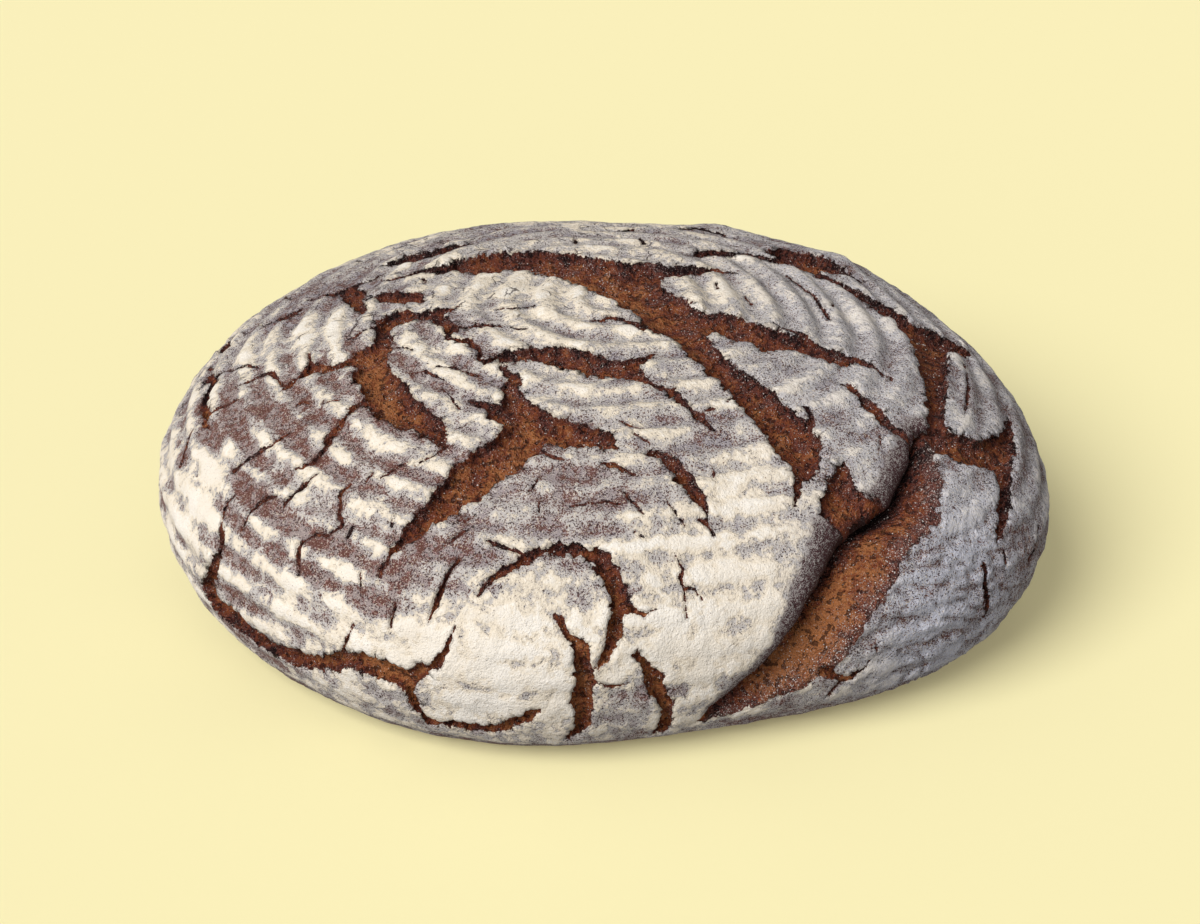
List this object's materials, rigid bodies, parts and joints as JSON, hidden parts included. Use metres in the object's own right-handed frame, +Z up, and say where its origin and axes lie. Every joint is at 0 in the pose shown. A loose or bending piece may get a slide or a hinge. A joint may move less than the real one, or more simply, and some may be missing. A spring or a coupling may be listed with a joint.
{
  "type": "rye bread loaf",
  "caption": "Large round hearth loaf of rye bread, low and domed on a flat base, its floured crust ringed by basket coils and torn by deep cracks.",
  "frame": {"origin": "middle of the bounding box of the loaf, on the flat base", "axes": "+X along the loaf's greatest width, +Y to its back, +Z up from the base to the crown"},
  "size_m": [0.2938, 0.2582, 0.0985],
  "materials": {
    "crust": "matt, rough, dusted with flour"
  },
  "bodies": {
    "root": {"loaf": "crust"}
  },
  "joints": []
}
